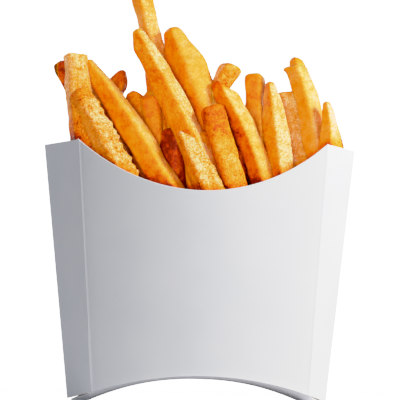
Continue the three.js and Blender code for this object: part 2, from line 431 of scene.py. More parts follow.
def near_folds():
    """Shares across a panel, from fold to fold, crowded beside the folds."""
    beside = [1 - step / FOLD_HALF[1] for step in FOLD_STEPS]
    # The even steps begin at the last of these places.
    wide = beside.pop()
    even = [wide * (2 * k / PANEL_STEPS - 1) for k in range(PANEL_STEPS + 1)]
    return [-1.0] + [-share for share in beside] + even + beside[::-1] + [1.0]


def wall_stations():
    """Counter-clockwise from above: front panel, right strips, back panel, left strips."""
    strip = math.hypot(SEAM_HALF[1] - FOLD_HALF[1], FOLD_DEPTH[1])
    away = [step / strip for step in FOLD_STEPS[:3]] + list(STRIP_SHARES)
    stations = []
    for face in (-1, 1):
        stations += [("panel", face, -face * share) for share in near_folds()]
        stations += [("strip", (-face, face), share) for share in [*away, 1.0]]
        stations += [("strip", (-face, -face), share) for share in reversed(away)]
    return stations + stations[:1]


STATIONS = wall_stations()
print(len(STATIONS) - 1, "stations round the wall")

# %% [markdown]
# ## Wall
# The wall could be cut from a flat sheet and folded, but then every fold would need its own
# angle. It is simpler to start from a grid with one column for each station and one row for
# each step up, and to send each of its points to its place. The lower edge follows the arch
# and the upper edge follows the scoop, which is part of a circle.

# %% Wall
WALL_ROWS = 30
EDGE_ROW = 0.6


def wall_foot(kind, share):
    """Height of the wall's lower edge: the arch across a panel, and a slope on a strip."""
    if kind == "panel":
        return lerp((FOLD_FOOT, ARCH_HIGH), 1 - share**2)
    return lerp((FOLD_FOOT, SEAM_FOOT), share)


def wall_rim(kind, share):
    """Height of the wall's upper edge: the round scoop, and a slope from ear to seam."""
    if kind == "panel":
        x = share * FOLD_HALF[1]
        return SCOOP_LOW + SCOOP_RADIUS - math.sqrt(SCOOP_RADIUS**2 - x**2)
    return lerp((FOLD_TOP, SEAM_TOP), share)


def wall_point(station, z):
    """The place of a station at a height, with the beads and the grooves of the folds."""
    kind, face, share = station
    section = section_at(z, 0)
    strip = math.hypot(section["seam"] - section["fold"], section["depth"])
    if kind == "panel":
        beside = (1 - abs(share)) * section["fold"]
        groove = GROOVE_DEEP * bell(beside - GROOVE_AWAY, GROOVE_HALF)
        x = share * section["fold"]
        y = face * half_depth(x, section)
    else:
        side, depth_side = face
        beside = share * strip
        groove = 0.0
        x = side * (section["fold"] + (section["seam"] - section["fold"]) * share)
        y = depth_side * section["depth"] * (1 - share)
    bead = BEAD_HIGH * bell(beside, BEAD_HALF)
    if kind == "panel":
        bead += LIP_OUT * bell(z - wall_foot(kind, share), LIP_HALF)
    bisector = Vector((math.copysign(1, x), math.copysign(1, y), 0)).normalized()
    return Vector((x, y, z)) + bisector * (bead - groove)


def wall_sheet(bm):
    """A grid folded round the stations, with its outer rows close to the foot and the rim."""
    columns = len(STATIONS) - 1
    made = bmesh.ops.create_grid(bm, x_segments=columns, y_segments=WALL_ROWS, size=1)
    for vert in made["verts"]:
        kind, face, share = STATIONS[round((vert.co.x + 1) / 2 * columns)]
        row = round((vert.co.y + 1) / 2 * WALL_ROWS)
        foot = wall_foot(kind, share)
        rim = wall_rim(kind, share)
        inner = lerp((foot + EDGE_ROW, rim - EDGE_ROW), (row - 1) / (WALL_ROWS - 2))
        z = {0: foot, WALL_ROWS: rim}.get(row, inner)
        vert.co = wall_point((kind, face, share), z)


print("rim at", SCOOP_LOW, "mm in the middle and", round(wall_rim("panel", 1), 1), "at the ears")

# %% [markdown]
# ## Bottom
# The bottom panel hangs between the two lower creases like a hammock, and its two tips lie
# flat on the table: they are the feet. It is a second grid. Its long edges land exactly on
# the wall's lower edge, so the two sheets can be welded there, and the tips stay free.

# %% Bottom
BOTTOM_ROWS = 14
TIP_STEPS = 5


def keel_height(x):
    """Height of the bottom's middle line, which lies on the table at the feet."""
    return KEEL_HIGH * max(0.0, 1 - (abs(x) / FOOT_FROM) ** KEEL_POWER)


def tip_height(x):
    """Height of a foot's free edge, which comes down from the fold."""
    return lerp((FOLD_FOOT, TIP_EDGE_LOW), (x - FOLD_HALF[0]) / (FOOT_TO - FOLD_HALF[0]))


def bottom_sheet(bm):
    """A grid hung between the creases, whose edges are the wall's own foot points."""
    front = [station for station in STATIONS if station[:2] == ("panel", -1)][:-1]
    edge = [wall_point(station, wall_foot("panel", station[2])) for station in front]
    corner = edge[0]
    tips = []
    for k in range(1, TIP_STEPS + 1):
        x = lerp((abs(corner.x), FOOT_TO), k / TIP_STEPS)
        y = half_depth(x, section_at(0, BOARD / 2))
        tips.append(Vector((x, -y, tip_height(x))))
    left = [Vector((-tip.x, tip.y, tip.z)) for tip in reversed(tips)]
    line = left + edge + [Vector((-corner.x, corner.y, corner.z))] + tips
    columns = len(line) - 1
    made = bmesh.ops.create_grid(bm, x_segments=columns, y_segments=BOTTOM_ROWS, size=1)
    for vert in made["verts"]:
        end = line[round((vert.co.x + 1) / 2 * columns)]
        reach = vert.co.y
        rise = max(0.0, (abs(reach) - FOOT_FLAT) / (1 - FOOT_FLAT)) ** 2
        vert.co = (end.x, -end.y * reach, lerp((keel_height(end.x), end.z), rise))


print("the bottom hangs", keel_height(0), "mm above the table in its middle")

# %% [markdown]
# ## Cup of paper
# Welding the two sheets makes one cup of paper with no thickness. Its faces are turned the
# same way now, because once it has a thickness that would turn its inner side round.

# %% Cup of paper
WELD = 0.02


def carton_shape():
    """The welded sheets, with the cup's outside facing out."""
    bm = bmesh.new()
    wall_sheet(bm)
    bottom_sheet(bm)
    bmesh.ops.remove_doubles(bm, verts=bm.verts, dist=WELD)
    bmesh.ops.recalc_face_normals(bm, faces=bm.faces)
    outermost = max(bm.faces, key=lambda face: face.calc_center_median().x)
    if outermost.normal.x < 0:
        bmesh.ops.reverse_faces(bm, faces=bm.faces)
    return bm


cup = carton_shape()
open_edges = sum(edge.is_boundary for edge in cup.edges)
print("cup of paper", len(cup.verts), "points,", open_edges, "open edges")

# %% [markdown]
# ## Finish of the board
# The outside is coated: smooth, white and very slightly cool, with a dull sheen. The inside
# and the cut edge are bare fibre, warmer and fully matt. Faint patterns keep the coat from
# looking like plastic: clouds as broad as a finger, and fibres and slow waves that only bend
# the light.


# %% Finish of the board
def coated_board():
    """White coated paper with faint clouds and a fibre bump."""
    finish = Finish("coated_board")
    place = finish.node("TexCoord", output="Object")
    clouds = finish.node("TexNoise", Vector=place, Scale=38.0, Detail=2.0, Roughness=0.5)
    white = finish.ramp(clouds, [(0.3, colour(238, 240, 244)), (0.7, colour(244, 245, 247))])
    fibres = finish.node("TexNoise", Vector=place, Scale=1400.0, Detail=4.0, Roughness=0.6)
    waves = finish.node("TexNoise", Vector=place, Scale=60.0, Detail=1.0)
    height = fibres * 0.3 + waves * 0.7
    bump = finish.node("Bump", Height=height, Strength=0.05, Distance=0.002)
    finish.set(Base_Color=white, Roughness=clouds * 0.12 + 0.46, Normal=bump)
    finish.set(Specular_IOR_Level=0.35)
    return finish.material


def bare_board(name, shade):
    """Uncoated fibre, as inside the carton and on its cut edges."""
    finish = Finish(name)
    place = finish.node("TexCoord", output="Object")
    fibres = finish.node("TexNoise", Vector=place, Scale=900.0, Detail=5.0, Roughness=0.7)
    bump = finish.node("Bump", Height=fibres, Strength=0.2, Distance=0.0003)
    paler = tuple(min(1.0, value * 1.05) for value in shade[:3]) + (1.0,)
    finish.set(Base_Color=finish.ramp(fibres, [(0.3, shade), (0.7, paler)]), Normal=bump)
    finish.set(Roughness=0.85)
    return finish.material


BOARD_FINISHES = [
    coated_board(),
    bare_board("bare_board", colour(236, 233, 226)),
    bare_board("cut_edge", colour(250, 247, 243)),
]
print("board finishes", [material.name for material in BOARD_FINISHES])

# %% [markdown]
# ## Carton
# Solidify grows the board inwards, so the outside keeps its size, and it gives the inside and
# the rim their own finish. It is applied at once, because only then is there a cut edge to
# round. The edge is rounded most on the outside, where the knife pressed in, and catches the
# lamp as a thin bright line.

# %% Carton
OUTER_ROUND = 0.3
INNER_ROUND = 0.12
SHARP = math.radians(60)
OUTSIDE, INSIDE, RIM = 0, 1, 2


def apply_modifiers(piece):
    """Replaces a piece's mesh by what its modifiers make of it."""
    seen = piece.evaluated_get(bpy.context.evaluated_depsgraph_get())
    baked = bpy.data.meshes.new_from_object(seen)
    piece.modifiers.clear()
    old = piece.data
    piece.data = baked
    bpy.data.meshes.remove(old)
    baked.name = piece.name


def round_cut(bm, side, offset):
    """Rounds the edges between one side of the board and its cut rim."""
    sides = {side, RIM}
    cut = [edge for edge in bm.edges if {face.material_index for face in edge.link_faces} == sides]
    bmesh.ops.bevel(
        bm, geom=cut, affect="EDGES", offset=offset * MM, offset_type="OFFSET", segments=3,
        profile=0.5, material=RIM, clamp_overlap=True,
    )


carton = add_piece("carton_board", cup, BOARD_FINISHES)
thick = carton.modifiers.new("thickness", "SOLIDIFY")
thick.thickness = BOARD * MM
thick.offset = -1
thick.use_even_offset = True
thick.material_offset = INSIDE
thick.material_offset_rim = RIM
apply_modifiers(carton)
rim = bmesh.new()
rim.from_mesh(carton.data)
round_cut(rim, OUTSIDE, OUTER_ROUND)
round_cut(rim, INSIDE, INNER_ROUND)
for face in rim.faces:
    face.smooth = True
rim.to_mesh(carton.data)
rim.free()
carton.data.set_sharp_from_angle(angle=SHARP)
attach(carton, "root")
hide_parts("carton")
print("carton", len(carton.data.polygons), "faces", carton.dimensions[:])

# %% [markdown]
# ## One fry
# Every stick that stands out of the carton is one line in the table below: the foot and the
# tip of its middle line, the side of its square section, how far that is turned, and the
# share of its width that is left at the tip. The rest is said only where it matters. Bow is
# how far the middle swings to the right, and taper is the length that narrows to the tip.
# Slant is how far one side of the tip stands out, and blunt is how far its edge is rounded.
# A tip that was cut askew hugs the side that stayed straight: -1 is the left one. A twist
# turns the section further at the foot. A cut stick's flat sides fry differently, so the
# left and the front side have a tone each, from 0 for pale cream to 1 for rust, and so has
# the tip, over the length that burnt gives. The left tone is mostly the darker one, partly
# from browning and partly as painted shade, since the left side faces away from the key lamp.
# Knobs come with torn, floury potato. Lumps are single bulges or dents: how far below the
# tip, on which side, how large and how high. A row of crumbs is many small ones.

# %% One fry
TIP_LENGTH = 5
TAPER_POWER = 2
RIGHT, LEFT, FRONT, ROUND_ABOUT = 0, 180, -90, None
CRUMB_SIZE = (0.95, 1.4)
CRUMB_HIGH = (0.7, 1.7)
CRUMB_SHARE = (1.2, 0.6)
CRUMB_STRIDE = 7
CRUMB_KINDS = 5


class Fry:
    """One stick: its middle line and section in millimetres, and its looks."""

    def __init__(self, foot, tip, wide, turn, end, bow=0.0, slant=0.0, taper=TIP_LENGTH,
                 left=0.6, front=0.36, knobs=0.2, blunt=1.6, tip_tone=None, burnt=2.5,
                 hug=0, twist=0, lumps=()):
        self.foot = Vector(foot)
        self.tip = Vector(tip)
        self.wide = wide
        self.turn = math.radians(turn)
        self.end = end
        self.bow = bow
        self.slant = slant
        self.taper = taper
        # The left tone holds painted shade as well as the stick's own browning.
        self.left = left
        self.front = front
        self.knobs = knobs
        self.blunt = blunt
        self.tip_tone = tip_tone if tip_tone is not None else left
        self.burnt = burnt
        self.hug = hug
        self.twist = math.radians(twist)
        self.lumps = lumps


def crumb_row(side, start, end, count):
    """Lumps down one side: uneven in place and size, and higher lower down."""
    row = []
    for k in range(count):
        down = k / (count - 1)
        uneven = k * CRUMB_STRIDE % CRUMB_KINDS / (CRUMB_KINDS - 1)
        high = lerp(CRUMB_HIGH, down) * lerp(CRUMB_SHARE, uneven)
        row.append((lerp((start, end), down) + uneven, side, lerp(CRUMB_SIZE, uneven), high))
    return row


print("crumbs are up to", CRUMB_SIZE[1], "mm large and", CRUMB_HIGH[1], "mm high")

# %% [markdown]
# ## Rows of fries
# The lines are grouped in three rows, from the front panel to the back panel. The order
# matters: a stream of seeded numbers gives each stick its unevenness, and it is drawn in
# this order, so a new stick goes at the end.

# %% Rows of fries
FRONT_ROW = [
    Fry((15.5, -18, 58), (-8.4, -14.5, 107.3), 8.4, 22, 0.38, slant=-1.0, taper=28,
        front=0.22, knobs=0.9, blunt=2.0, tip_tone=0.15),
    Fry((21, -17, 60), (3.0, -10, 118.5), 8.2, 12, 0.85,
        front=0.38, knobs=0.6, blunt=2.0, tip_tone=0.8, burnt=26),
    Fry((28.9, -15, 60), (7.2, -6, 127.1), 6.9, 36, 0.6, bow=4.8, slant=-2.4, taper=7,
        left=0.74, front=0.22, blunt=1.5, tip_tone=0.85, burnt=4),
    Fry((35.8, -15, 62), (27.1, -6, 129.4), 7.4, 37, 0.3, taper=24,
        front=0.14, knobs=0.5, blunt=1.2),
    Fry((-18.5, -17.5, 62), (-50.2, -10, 123.6), 8.6, 30, 0.75, bow=0.9, taper=36,
        left=0.5, front=0.34, knobs=1.0, blunt=1.1, tip_tone=0.72, burnt=8,
        lumps=crumb_row(RIGHT, 8, 53, 15) + [(38, RIGHT, 26.0, -1.1)]),
    Fry((2.6, -18, 60), (-44.5, -3.7, 137.6), 8.7, 55, 0.36, bow=-1.4, taper=40, hug=-1,
        front=0.3, knobs=0.15, blunt=1.0, lumps=[(46, LEFT, 18.0, -1.8)]),
    Fry((16, -12, 62), (-27.2, -8, 149.2), 8.0, 44, 0.28, bow=0.8, taper=30, twist=24,
        front=0.2, knobs=0.4, blunt=1.2, tip_tone=0.42,
        lumps=[(7, LEFT, 4.0, 1.2)]),
]
MIDDLE_ROW = [
    Fry((-42.2, -12, 64), (-51.4, -4, 138.4), 8.0, 16, 0.97, slant=-0.6, bow=-0.5,
        left=0.7, front=0.62, knobs=0.7, blunt=0.6, tip_tone=0.27, burnt=36),
    Fry((45.8, -7, 64), (38.3, 0, 136.6), 7.0, 40, 0.9, bow=4.8,
        left=0.43, front=0.18, knobs=0.15, blunt=1.4, lumps=[(1, LEFT, 1.2, 1.0)]),
    Fry((44.4, -5, 64), (37.8, 0.5, 140.4), 5.0, 40, 0.62, bow=4.6,
        left=0.5, front=0.42, knobs=0.15, blunt=2.0),
    Fry((54.4, -11, 66), (50.2, -8, 121.8), 9.2, 42, 0.16, bow=1, taper=36,
        left=0.48, front=0.16, knobs=0.15, blunt=1.0),
    Fry((-17, -5, 61), (12.6, -2, 136.4), 6.7, 20, 0.95, bow=-3.5,
        left=0.5, front=0.54, knobs=0.7, blunt=2.2,
        lumps=[(10, ROUND_ABOUT, 4.0, -0.6), (3, ROUND_ABOUT, 3.0, 0.35)]),
    Fry((18.5, -6, 66), (-12.7, 0, 151.2), 10.4, 34, 0.38, bow=1.4, taper=22,
        knobs=0.15, blunt=2.2, tip_tone=0.55,
        lumps=[(13.5, FRONT, 2.0, -0.8), (18, FRONT, 4.0, 0.7), (18, RIGHT, 5.0, 0.9),
               (12, LEFT, 7.0, 0.9)]),
    Fry((-14, -6, 64), (-20.0, 0, 125.5), 7.2, 66, 0.85, slant=2,
        front=0.56, blunt=2.4),
    # This stick fills the deep gap behind the front row, and its near-rust tone is painted shade.
    Fry((-7, -4, 62), (-10, 2, 116), 7.8, 60, 0.85,
        left=0.98, front=0.95, knobs=0.15),
    Fry((45, -5, 66), (34.6, 3, 125.5), 8.8, 10, 0.95,
        left=0.44, front=0.26, knobs=0.5, blunt=1.0),
    Fry((-1, 0, 62), (-26.6, 3, 123.5), 6.2, 50, 0.8, slant=-2,
        left=0.64, front=0.5, knobs=0.4),
    Fry((-15.2, -2, 64), (-17.2, 4, 138), 7.6, 60, 0.8,
        left=0.68, front=0.62, knobs=0.15),
    Fry((0, -4, 66), (-24.7, 4.3, 165), 6.2, 28, 0.97, slant=1,
        left=0.44, front=0.24, knobs=0.25, blunt=0.8,
        lumps=[(10, LEFT, 4.0, -0.4), (12, RIGHT, 6.0, -0.5)]),
]
BACK_ROW = [
    Fry((22.3, 0, 66), (22.3, 6, 133.8), 6.8, 70, 0.85,
        left=0.52, front=0.5, knobs=0.12, blunt=2.0, lumps=[(9, ROUND_ABOUT, 4.0, -0.4)]),
    Fry((-23, 6, 66), (-56.6, 8, 137), 6.2, 60, 0.85,
        left=0.85, front=0.8, knobs=0.5, burnt=12, tip_tone=0.92, blunt=1.2,
        lumps=[(8, LEFT, 4.0, -0.5), (14, LEFT, 5.0, -1.2)]),
    Fry((-37, 6, 68), (-31.5, 8, 134.4), 5.6, 60, 0.4, bow=-4.0, taper=9,
        left=0.8, front=0.76, knobs=0.5, burnt=10, tip_tone=0.86, blunt=1.2,
        lumps=[(6, LEFT, 3.0, 1.1), (10, RIGHT, 3.0, -0.9)]),
    Fry((-30, 9, 64), (-46, 11, 129), 7.4, 20, 0.85, left=0.5, front=0.4),
    Fry((-22, 12, 62), (-38, 15, 122), 7.6, -25, 0.8, left=0.4, front=0.5),
    Fry((-20, 14, 60), (-26, 17, 116), 7.2, 30, 0.85, left=0.5, front=0.3, knobs=0.6),
    Fry((-6, 12, 62), (-17, 11, 133), 7.4, -35, 0.7, left=0.5, front=0.4, blunt=2.4),
    Fry((3, 13, 60), (-7, 10, 139), 7.6, 25, 0.75, bow=1.5, left=0.45, front=0.3, knobs=0.5),
    Fry((5, 14, 60), (4, 17, 126), 7.4, -20, 0.85, left=0.55, front=0.45),
    Fry((10, 12, 62), (13, 11, 118), 7, 40, 0.8, front=0.5),
    Fry((26, 14, 60), (22, 16, 117), 7.6, -30, 0.8, left=0.4, front=0.3, knobs=0.7),
    Fry((30, 11, 62), (31, 13, 121), 7.4, 15, 0.85, front=0.4),
    Fry((36, 8, 64), (41, 8, 125), 7.2, -40, 0.7, bow=-1.5, left=0.4, front=0.3, blunt=2.4),
    Fry((46, 5, 66), (48.5, 7, 112), 7, 30, 0.8, left=0.55, front=0.4),
]
print(len(FRONT_ROW + MIDDLE_ROW + BACK_ROW), "sticks stand out of the carton")

# %% [markdown]
# ## Seeded numbers
# Nature is uneven, but a script has to give the same heap on every run. A linear
# congruential stream is three numbers and one line of sums, and its draws never change.

# %% Seeded numbers
STREAM_FACTOR = 1664525
STREAM_STEP = 1013904223
STREAM_SIZE = 2**32
FILL_SEED = 11
FILL_COUNT = 18
FILL_REACH = 45
FILL_LINES = (-10, 9, -1)
# The shorter sticks stand deep in the heap, and their mostly dark tones are partly painted shade
# for the gaps there.
FILL_TONES = (0.95, 0.5, 0.7, 0.55, 0.5, 0.7)
FILL_PALER = 0.1
FILL_SHIFT = 3
FILL_FOOT = 60
FILL_TOP = 112
FILL_DROP = 14
FILL_SIDE_DROP = 10
FILL_LEAN = 9
FILL_BIAS = 3.6
FILL_WIDE = (7, 8.6)
FILL_END = 0.8
GAP = 0.35
CORE_TOP = 67


def stream(seed):
    """Numbers from 0 to 1, the same for the same seed."""
    state = seed
    while True:
        state = (state * STREAM_FACTOR + STREAM_STEP) % STREAM_SIZE
        yield state / STREAM_SIZE


def fill_fries(draw):
    """The shorter sticks between the rows, spread evenly and leaning every way."""
    fries = []
    for k in range(FILL_COUNT):
        x = lerp((-FILL_REACH, FILL_REACH), (k + next(draw)) / FILL_COUNT)
        reach = half_depth(x, section_at(CORE_TOP, BOARD + GAP)) / FOLD_DEPTH[0]
        line = FILL_LINES[k % len(FILL_LINES)] + FILL_SHIFT * next(draw)
        y = line * min(1, reach)
        lean = FILL_LEAN * (2 * next(draw) - 1) - FILL_BIAS
        low = FILL_DROP * next(draw) + FILL_SIDE_DROP * (x / FILL_REACH) ** 4
        tip = (x + lean, y + FILL_SHIFT * next(draw), FILL_TOP - low)
        wide = lerp(FILL_WIDE, next(draw))
        turn = 90 * next(draw)
        tone = FILL_TONES[k % len(FILL_TONES)]
        foot = (x - lean, y, FILL_FOOT)
        front = tone - FILL_PALER
        fries.append(Fry(foot, tip, wide, turn, FILL_END, left=tone, front=front))
    return fries


heap_draw = stream(FILL_SEED)
FILL = fill_fries(heap_draw)
print(len(FILL), "shorter sticks, tips up to", round(max(fry.tip.z for fry in FILL), 1), "mm")

# %% [markdown]
# ## A bar with flat sides
# A stick starts as a cylinder, because its rings and its round end are easy to cut evenly.
# Cuts across the upright edges make the rings, and insets of the end face make its rings.
# A function then pulls the round section towards a square with very soft corners, because
# frying rounds a cut stick a good deal.

# %% A bar with flat sides
ROUND = 56
CAP_RINGS = 5
CORNER_SOFT = 0.5


def runs(edge, axis):
    """How far an edge runs along an axis: 0 is x, 1 is y and 2 is z."""
    return abs(edge.verts[0].co[axis] - edge.verts[1].co[axis])


def round_bar(rings):
    """A cylinder one unit long and two across, with rings along it and on its upper end."""
    bm = bmesh.new()
    bmesh.ops.create_cone(
        bm, cap_ends=True, cap_tris=False, segments=ROUND, radius1=1, radius2=1, depth=1
    )
    upright = [edge for edge in bm.edges if runs(edge, 2) > 0.5]
    bmesh.ops.subdivide_edges(bm, edges=upright, cuts=rings - 1)
    top = max(bm.faces, key=lambda face: face.calc_center_median().z)
    for _ in range(CAP_RINGS):
        bmesh.ops.inset_region(bm, faces=[top], thickness=1 / (CAP_RINGS + 1))
    bmesh.ops.poke(bm, faces=[top])
    return bm


def soft_square(x, y):
    """The point of a soft-cornered square in the direction of x and y, and its normal."""
    reach = max(abs(x), abs(y), 1e-9)
    flat = 1 - CORNER_SOFT
    corner = Vector((clamp(x / reach, -flat, flat), clamp(y / reach, -flat, flat)))
    normal = (Vector((x / reach, y / reach)) - corner).normalized()
    return corner + normal * CORNER_SOFT, normal


print("a bar has", ROUND, "sides, and corners that take up", CORNER_SOFT, "of its half width")

# %% [markdown]
# ## Relief
# Frying leaves three kinds of relief. Every stick is a little dented, over lengths like its
# own width. All skin is finely wrinkled. Torn potato also has knobs, like crumbs half sunk
# in the side: they are the cells of a Voronoi pattern, each raised as a low dome. The lumps
# that a stick was given come on top.

# %% Relief
DENT_DEEP = 0.55
DENT_SIZE = 8.0
WRINKLE_DEEP = 0.13
WRINKLE_SIZE = 1.9
KNOB_HIGH = 0.62
KNOB_SIZE = 2.5
KNOB_HALF = 0.62
KNOB_BREAK = 6.0
KNOB_MANY = 0.55
KNOB_THINS = 0.9
KNOB_LEAST = 0.1
LUMP_NARROW = 2.2


def dome(distance):
    """The height of a low dome, from 1 at its middle to 0 at its rim and beyond."""
    return math.sqrt(max(0.0, 1 - distance**2))


def knob_height(spot):
    """The height of the knobs at a place, which thin out here and there."""
    near = noise.voronoi(spot / KNOB_SIZE)[0][0]
    many = KNOB_MANY + KNOB_THINS * noise.noise(spot / KNOB_BREAK)
    return dome(near / KNOB_HALF) * clamp(many, KNOB_LEAST, 1.0)


def lump_height(fry, below, out):
    """The height of the stick's own lumps at a distance below the tip."""
    height = 0.0
    for centre, side, size, high in fry.lumps:
        apart = ((below - centre) / size) ** 2
        if side is not None:
            angle = math.radians(side)
            facing = Vector((math.cos(angle), math.sin(angle)))
            apart += LUMP_NARROW * (out - facing).length_squared
        height += high * math.exp(-apart)
    return height


def skin_relief(fry, spot, knob, below, out):
    """The height of the dents, wrinkles, knobs and lumps together."""
    relief = DENT_DEEP * noise.noise(spot / DENT_SIZE)
    relief += WRINKLE_DEEP * noise.noise(spot / WRINKLE_SIZE)
    relief += KNOB_HIGH * knob + lump_height(fry, below, out)
    return relief


print("dents", DENT_DEEP, "mm, wrinkles", WRINKLE_DEEP, "mm and knobs", KNOB_HIGH, "mm at most")

# %% [markdown]
# ## Width along a stick
# No stick is even from end to end. It swells and shrinks a little, by a seeded number at
# each of a few coarse rings, it tapers towards its tip, and there it is blunt, with a low,
# rough dome on the end face.

# %% Width along a stick
RINGS = 5
RING_CROWD = 1.7
UNEVEN = 0.07
END_DOME = 0.5
END_ROUGH = 0.6
END_LEAST = 0.4
END_FULL = 2.5


def smooth(low, high, value):
    """0 at low and before it, 1 at high and beyond, and an S between. Low may be larger."""
    share = clamp((value - low) / (high - low), 0.0, 1.0)
    return share * share * (3 - 2 * share)


def between_rings(values, share):
    """The unevenness at a share of the length, from the values at the coarse rings."""
    place = RINGS * (1 - (1 - share) ** (1 / RING_CROWD))
    ring = min(RINGS - 1, int(place))
    return lerp((values[ring], values[ring + 1]), smooth(0, 1, place - ring))


def swell(fry):
    """Soft corners would make a turned stick look thinner, so it swells by as much."""
    spread = abs(math.cos(fry.turn)) + abs(math.sin(fry.turn))
    return spread / lerp((spread, 1), CORNER_SOFT)


def narrowing(fry, below):
    """The share of its width that the stick has left at a distance below its tip."""
    return lerp((1, fry.end), clamp(1 - below / fry.taper, 0, 1) ** TAPER_POWER)


def blunted(fry, below):
    """What the rounded tip takes off half the width."""
    return fry.blunt * (1 - dome(1 - below / fry.blunt)) if below < fry.blunt else 0.0


def end_cut(fry, spot, half, reach):
    """How far the end face stands out: a low, rough dome, less on a small end."""
    rough = END_ROUGH * (END_LEAST + fry.knobs) * noise.noise(spot / KNOB_SIZE)
    return (END_DOME + rough) * (1 - reach**2) * clamp(half / END_FULL, 0, 1)


print("the first stick's tip keeps", round(narrowing(FRONT_ROW[0], 0), 2), "of its width")

# %% [markdown]
# ## Tones
# A point's tone starts from the side that it is on, and the sides blend into each other
# over the soft corners. The sides that face right and back follow from the left one. The
# left side is darker partly from the stick's own browning and partly as painted shade, since
# it faces away from the key lamp. The tip has a tone of its own. On top comes more painted
# shade: the sticks are darker deep down in the carton, where shade falls, and darkest just
# above the rim, where the board shades them.

# %% Tones
CORNER_BLEND = 0.55
FACE_BLEND = 0.3
BACK_TONE = 0.6
RIGHT_MORE = 0.12
# Painted shade: the sticks darken from the first height down to the second.
DEEP_SHADE_BAND = (104, 76)
DEEP_SHADE_TONE = 0.1
# Painted shade: the sticks are darkest just above the rim, where the board shades them.
RIM_SHADE_HIGH = 4.0
RIM_SHADE_TONE = 0.32


def above_rim(place):
    """How far a point is above the rim of the panel nearest to it."""
    share = clamp(place.x / FOLD_HALF[1], -1, 1)
    return place.z - wall_rim("panel", share)


def tone_and_painted_shade(fry, normal, reach, below, place):
    """The tone of a side by its facing, which holds some painted shade, browner at the tip, and
    with painted shade deep down and at the rim.
    """
    back = fry.left * BACK_TONE
    across = lerp((fry.left, back + RIGHT_MORE), smooth(-FACE_BLEND, FACE_BLEND, normal.x))
    deep = lerp((fry.front, back), smooth(-FACE_BLEND, FACE_BLEND, normal.y))
    turned = smooth(-CORNER_BLEND, CORNER_BLEND, abs(normal.y) - abs(normal.x))
    tone = lerp((across, deep), turned)
    tone = lerp((fry.tip_tone, tone), smooth(0, fry.burnt, below) * reach)
    # Painted shade: darker deep down in the carton, where shade falls.
    tone += DEEP_SHADE_TONE * smooth(*DEEP_SHADE_BAND, place.z)
    # Painted shade: darkest just above the rim.
    return tone + RIM_SHADE_TONE * smooth(RIM_SHADE_HIGH, 0, above_rim(place))


# This is how far above the rim the painted rim shade reaches.
print("oil browns the sticks", RIM_SHADE_HIGH, "mm above the rim, at", SCOOP_LOW, "mm in the middle")

# %% [markdown]
# ## Shaping a fry
# Each point of the bar knows how far along it is and where it is round the section. From
# that come its width, its relief and its place on the bowed middle line. Its tone is worked
# out in the same pass, and noted for the material.

# %% Shaping a fry
STEP = 0.72
STEP_CROWD = 1.25
SMOOTH_SIDE = 0.35
TORN_BLEND = (-0.5, 0.7)
LOT = (17.3, 5.1, -9.7)


def kept(point):
    """Keeps a point clear of the board, and of the board's plane above the rim."""
    section = section_at(min(point.z, FOLD_TOP), BOARD + GAP)
    x = clamp(point.x, -section["seam"], section["seam"])
    reach = half_depth(x, section)
    return Vector((x, clamp(point.y, -reach, reach), point.z))


def stick_axes(fry):
    """The directions along the stick, and across it to the right and to the back."""
    along = (fry.tip - fry.foot).normalized()
    right = (Vector((1, 0, 0)) - along * along.x).normalized()
    return along, right, along.cross(right)


def shape_fry(fry, uneven, number, notes):
    """A bar shaped as one stick. Its tones and knobs are added to the notes."""
    length = (fry.tip - fry.foot).length
    along, right, back = stick_axes(fry)
    full = fry.wide / 2 * swell(fry)
    # Each stick reads the noise somewhere else, so that no two are alike.
    lot = Vector([step * number for step in LOT])
    bm = round_bar(round(length / STEP))
    for vert in bm.verts:
        reach = min(1.0, math.hypot(vert.co.x, vert.co.y))
        share = 1 - (1 - clamp(vert.co.z + 0.5, 0, 1)) ** STEP_CROWD
        below = (1 - share) * length
        narrow = narrowing(fry, below)
        lost = fry.wide / 2 * (1 - narrow)
        half = full * between_rings(uneven, share) * narrow - blunted(fry, below)
        turn = fry.turn + fry.twist * (1 - share)
        across = right * math.cos(turn) + back * math.sin(turn)
        deep = back * math.cos(turn) - right * math.sin(turn)
        flat, normal = soft_square(vert.co.x, vert.co.y)
        spot = Vector((flat.x * half, flat.y * half, share * length)) + lot
        # The torn sides face the front, and the other sides are smoother.
        torn = fry.knobs * lerp((SMOOTH_SIDE, 1), smooth(*TORN_BLEND, -normal.y))
        knob = torn * knob_height(spot)
        relief = skin_relief(fry, spot, knob, below, across.xy * flat.x + deep.xy * flat.y)
        p = (flat.x * half + normal.x * relief) * reach
        q = (flat.y * half + normal.y * relief) * reach
        cut = fry.slant * flat.x * reach * smooth(TIP_LENGTH, 0, below)
        if reach < 1:
            cut += end_cut(fry, spot, half, reach)
        place = fry.foot + along * (share * length + cut)
        place += right * (4 * share * (1 - share) * fry.bow + fry.hug * lost)
        place += across * p + deep * q
        vert.co = kept(place)
        # The tone noted here holds the stick's own browning and its painted shade.
        notes["tone"].append(tone_and_painted_shade(fry, normal, reach, below, place))
        notes["knob"].append(knob)
        notes["rough"].append(torn)
    return bm


print("rings along a stick are about", STEP, "mm apart")

# %% [markdown]
# ## Finish of the potato
# Fried potato is pale where it is floury and orange where the oil has browned it, and it
# glows a little, because light goes in at one side and comes out at another. The tone that
# each point carries picks a colour from a ramp. Patches, mottles and a fine grain shift the
# tone, the knobs are paler than the hollows between them, and a share of subsurface light
# gives the glow. Torn potato is rougher in every way, so most amounts are pairs: what smooth
# skin has, and what torn potato has more.

